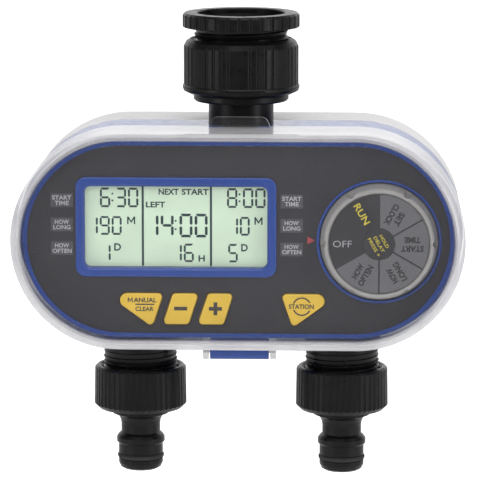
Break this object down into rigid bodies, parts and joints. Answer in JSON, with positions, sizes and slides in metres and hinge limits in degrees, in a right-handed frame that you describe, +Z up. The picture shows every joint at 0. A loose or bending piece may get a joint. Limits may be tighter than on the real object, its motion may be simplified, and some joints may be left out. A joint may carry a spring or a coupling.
{
  "type": "drip irrigation timer",
  "caption": "Battery tap timer with a display, rotary dial and keys behind a clear hinged cover, a swivel tap inlet above and click outlets below.",
  "frame": {"origin": "on the inlet's axis where the tap's thread begins, 3.2 mm below the inlet's rim", "axes": "+Z up along the inlet's axis, -Y towards the reader of the display, +X to the right facing the display"},
  "size_m": [0.1552, 0.0772, 0.1617],
  "materials": {
    "blue_plastic": "satin moulded, saturated blue",
    "pale_shell": "fine-grained moulded, pale grey",
    "rubber": "matt black",
    "panel_plastic": "fine-grained, dark grey",
    "window_clear": "clear, polished",
    "display_glass": "satin, pale green",
    "inner_plastic": "plain moulded, hidden inside",
    "circuit_board": "green lacquer",
    "steel": "zinc-plated",
    "knob_plastic": "satin, warm grey",
    "dial_print": "printed matt film",
    "cover_clear": "clear, polished",
    "black_plastic": "satin glass-filled black",
    "coil_case": "taped winding",
    "cell_jacket": "printed film over steel",
    "filter_mesh": "fine mesh in a moulded frame",
    "yellow_plastic": "satin, warm yellow"
  },
  "bodies": {
    "timer": {"front_housing": "blue_plastic", "rear_shell": "pale_shell", "housing_gasket": "rubber", "control_panel": "panel_plastic", "display_frame": "blue_plastic", "display_window": "window_clear", "display_glass": "display_glass", "display_holder": "inner_plastic", "circuit_board": "circuit_board", "board_pegs": "inner_plastic", "board_screws": "steel", "tact_switches": "inner_plastic", "rotary_switch": "inner_plastic", "dial_ring": "blue_plastic", "hinge_pin": "steel", "inlet_neck": "black_plastic", "cross_gallery": "black_plastic", "valve_chamber_left": "black_plastic", "valve_chamber_right": "black_plastic", "spigot_left": "black_plastic", "spigot_right": "black_plastic", "valve_diaphragms": "rubber", "valve_bonnets": "black_plastic", "valve_coils": "coil_case", "plunger_springs": "steel", "case_screws": "steel", "nut_retainer": "black_plastic", "inlet_washer": "rubber", "inlet_filter": "filter_mesh"},
    "cover": {"front_cover": "cover_clear"},
    "dial": {"dial_knob": "knob_plastic", "dial_label": "dial_print", "dial_hub_cap": "dial_print", "dial_shaft": "inner_plastic"},
    "manual_key": {"button_manual": "yellow_plastic"},
    "minus_key": {"button_minus": "yellow_plastic"},
    "plus_key": {"button_plus": "yellow_plastic"},
    "station_key": {"button_station": "yellow_plastic"},
    "swivel_nut": {"inlet_nut": "black_plastic"},
    "tap_washer_ring": {"tap_washer": "rubber"},
    "tap_adaptor": {"inlet_adaptor": "black_plastic"},
    "left_outlet_seat": {"outlet_washer_left": "rubber"},
    "left_outlet": {"outlet_adaptor_left": "black_plastic", "nipple_seal_left": "rubber"},
    "right_outlet_seat": {"outlet_washer_right": "rubber"},
    "right_outlet": {"outlet_adaptor_right": "black_plastic", "nipple_seal_right": "rubber"},
    "drawer": {"battery_drawer": "pale_shell", "drawer_seal": "rubber", "cells": "cell_jacket", "battery_contacts": "steel"},
    "left_plunger": {"valve_plunger_left": "steel"},
    "right_plunger": {"valve_plunger_right": "steel"}
  },
  "joints": [
    {"name": "cover_hinge", "type": "hinge", "parent": "timer", "child": "cover", "pos_m": [0, -0.014, -0.1133], "axis": [1, 0, 0], "range_deg": [0, 90]},
    {"name": "dial_turn", "type": "hinge", "parent": "timer", "child": "dial", "pos_m": [0.0482, -0.027, -0.0726], "axis": [0, 1, 0], "continuous": true},
    {"name": "manual_press", "type": "slide", "parent": "timer", "child": "manual_key", "axis": [0, 1, 0], "range_m": [0, 0.0008], "stiffness_N_per_m": 400, "springref_m": -0.001},
    {"name": "minus_press", "type": "slide", "parent": "timer", "child": "minus_key", "axis": [0, 1, 0], "range_m": [0, 0.0008], "stiffness_N_per_m": 400, "springref_m": -0.001},
    {"name": "plus_press", "type": "slide", "parent": "timer", "child": "plus_key", "axis": [0, 1, 0], "range_m": [0, 0.0008], "stiffness_N_per_m": 400, "springref_m": -0.001},
    {"name": "station_press", "type": "slide", "parent": "timer", "child": "station_key", "axis": [0, 1, 0], "range_m": [0, 0.0008], "stiffness_N_per_m": 400, "springref_m": -0.001},
    {"name": "nut_swivel", "type": "hinge", "parent": "timer", "child": "swivel_nut", "pos_m": [0, 0, -0.015], "axis": [0, 0, 1], "continuous": true},
    {"name": "tap_adaptor_rise", "type": "slide", "parent": "swivel_nut", "child": "tap_washer_ring", "axis": [0, 0, 1], "range_m": [0, 0.0092]},
    {"name": "tap_adaptor_screw", "type": "hinge", "parent": "tap_washer_ring", "child": "tap_adaptor", "pos_m": [0, 0, -0.005], "axis": [0, 0, 1], "range_deg": [0, 1440]},
    {"name": "left_outlet_drop", "type": "slide", "parent": "timer", "child": "left_outlet_seat", "axis": [0, 0, -1], "range_m": [0, 0.0072]},
    {"name": "left_outlet_screw", "type": "hinge", "parent": "left_outlet_seat", "child": "left_outlet", "pos_m": [-0.0355, 0, -0.125], "axis": [0, 0, -1], "range_deg": [0, 1440]},
    {"name": "right_outlet_drop", "type": "slide", "parent": "timer", "child": "right_outlet_seat", "axis": [0, 0, -1], "range_m": [0, 0.0072]},
    {"name": "right_outlet_screw", "type": "hinge", "parent": "right_outlet_seat", "child": "right_outlet", "pos_m": [0.0355, 0, -0.125], "axis": [0, 0, -1], "range_deg": [0, 1440]},
    {"name": "drawer_slide", "type": "slide", "parent": "timer", "child": "drawer", "axis": [0, 1, 0], "range_m": [0, 0.024]},
    {"name": "left_plunger_lift", "type": "slide", "parent": "timer", "child": "left_plunger", "axis": [0, 1, 0], "range_m": [0, 0.0015], "stiffness_N_per_m": 60, "springref_m": -0.003},
    {"name": "right_plunger_lift", "type": "slide", "parent": "timer", "child": "right_plunger", "axis": [0, 1, 0], "range_m": [0, 0.0015], "stiffness_N_per_m": 60, "springref_m": -0.003}
  ],
  "couplings": [
    {"joint": "tap_adaptor_screw", "follows": "tap_adaptor_rise", "rad_per_m": 2721.2},
    {"joint": "left_outlet_screw", "follows": "left_outlet_drop", "rad_per_m": 3463.7},
    {"joint": "right_outlet_screw", "follows": "right_outlet_drop", "rad_per_m": 3463.7}
  ]
}
